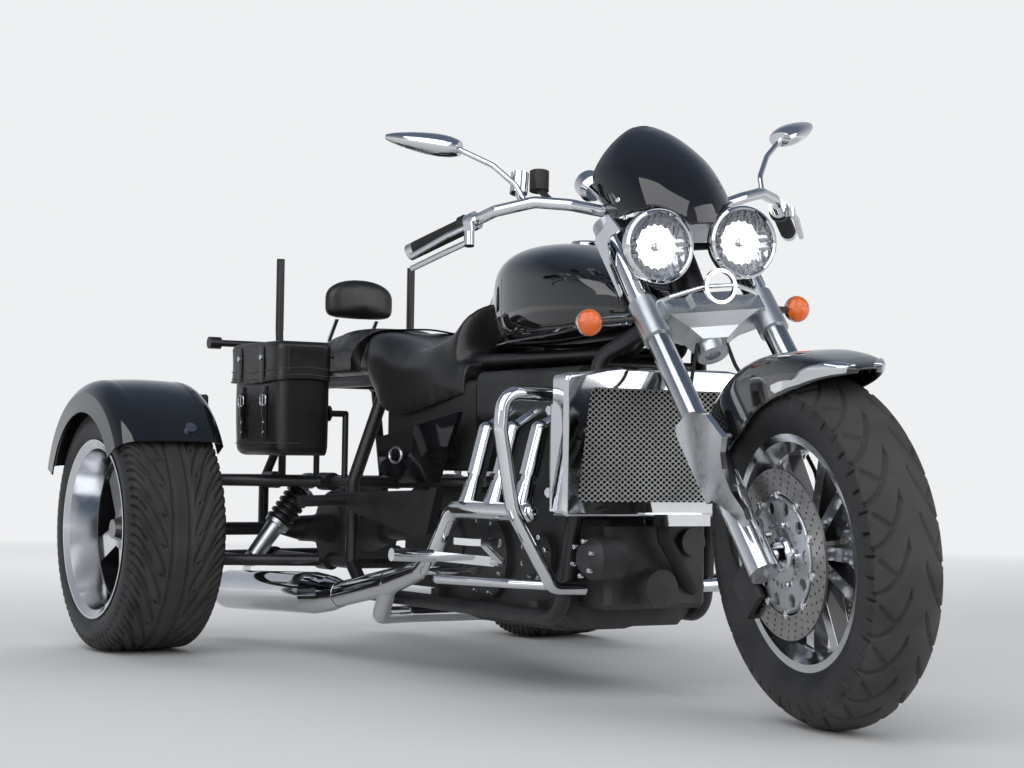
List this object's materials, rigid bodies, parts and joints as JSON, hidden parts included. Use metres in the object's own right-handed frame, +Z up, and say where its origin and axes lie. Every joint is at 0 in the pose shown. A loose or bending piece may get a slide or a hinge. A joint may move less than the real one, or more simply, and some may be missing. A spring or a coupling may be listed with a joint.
{
  "type": "motor trike",
  "caption": "Three-wheeled road motorcycle with a raked fork, twin round headlamps, fly screen, wide rear wheels on independent arms, saddlebags and a load carrier.",
  "frame": {"origin": "on the ground in the middle of the part's length and width", "axes": "+X forward along the machine, +Y to its left, +Z up"},
  "size_m": [2.6866, 1.532, 1.2928],
  "materials": {
    "black_paint": "high gloss",
    "black_metal": "satin",
    "chrome": "polished",
    "silver": "satin",
    "disc_steel": "brushed",
    "tyre": "matt",
    "grip": "matt",
    "leather": "soft sheen",
    "dark_plastic": "matt",
    "screen": "gloss",
    "lens": "clear",
    "amber": "clear amber",
    "red_lens": "clear red"
  },
  "bodies": {
    "chassis": {"frame_tubes": "black_metal", "rear_subframe": "black_metal", "engine_block": "black_metal", "airbox": "dark_plastic", "engine_covers": "black_metal", "radiator_core": "black_metal", "radiator_shroud": "chrome", "header_pipes": "chrome", "silencers": "chrome", "fuel_tank": "black_paint", "rider_seat": "leather", "passenger_seat": "leather", "backrest_pad": "leather", "backrest_posts": "chrome", "side_panels": "black_paint", "final_drive": "black_metal", "wishbones": "black_metal", "dampers": "silver", "shock_springs": "black_metal", "rear_fenders": "black_paint", "hub_carriers": "black_metal", "rear_lamps": "red_lens", "bag_left": "leather", "bag_right": "leather", "coolant_hose": "grip", "engine_guards": "chrome", "foot_controls": "chrome", "passenger_hangers": "black_metal", "load_carrier": "black_metal"},
    "steering": {"fork_tubes": "silver", "front_axle": "silver", "fork_covers": "silver", "yokes": "silver", "front_fender": "black_paint", "headlamp_shells": "chrome", "headlamp_lenses": "lens", "ornament": "chrome", "lamp_brackets": "black_metal", "fork_side_plates": "chrome", "brake_hoses": "grip", "indicators": "amber", "fly_screen": "screen", "handlebar": "chrome", "grips": "grip", "hand_levers": "chrome", "bar_switchgear": "dark_plastic", "mirrors": "chrome", "front_calipers": "silver"},
    "front_wheel": {"front_tyre": "tyre", "front_rim": "black_paint", "front_discs": "disc_steel"},
    "rear_wheel_left": {"rear_tyre_left": "tyre", "rear_rim_left": "black_paint", "half_shaft_left": "black_metal"},
    "rear_wheel_right": {"rear_tyre_right": "tyre", "rear_rim_right": "black_paint", "half_shaft_right": "black_metal"},
    "bag_lid_left": {"bag_lid_left": "leather"},
    "bag_lid_right": {"bag_lid_right": "leather"}
  },
  "joints": [
    {"name": "steering_turn", "type": "hinge", "parent": "chassis", "child": "steering", "pos_m": [1.075, 0, 0], "axis": [-0.5299, 0, 0.848], "range_deg": [-19, 40]},
    {"name": "front_wheel_spin", "type": "hinge", "parent": "steering", "child": "front_wheel", "pos_m": [0.99831, -0.02125, 0.33494], "axis": [0.1575, 0.9826, 0.0984], "continuous": true},
    {"name": "rear_wheel_left_spin", "type": "hinge", "parent": "chassis", "child": "rear_wheel_left", "pos_m": [-0.993, 0.62, 0.309], "axis": [0, 1, 0], "continuous": true},
    {"name": "rear_wheel_right_spin", "type": "hinge", "parent": "chassis", "child": "rear_wheel_right", "pos_m": [-0.993, -0.62, 0.309], "axis": [0, 1, 0], "continuous": true},
    {"name": "bag_lid_left_hinge", "type": "hinge", "parent": "chassis", "child": "bag_lid_left", "pos_m": [-0.8, 0.2315, 0.752], "axis": [1, 0, 0], "range_deg": [0, 100]},
    {"name": "bag_lid_right_hinge", "type": "hinge", "parent": "chassis", "child": "bag_lid_right", "pos_m": [-0.8, -0.2315, 0.752], "axis": [-1, 0, 0], "range_deg": [0, 100]}
  ]
}
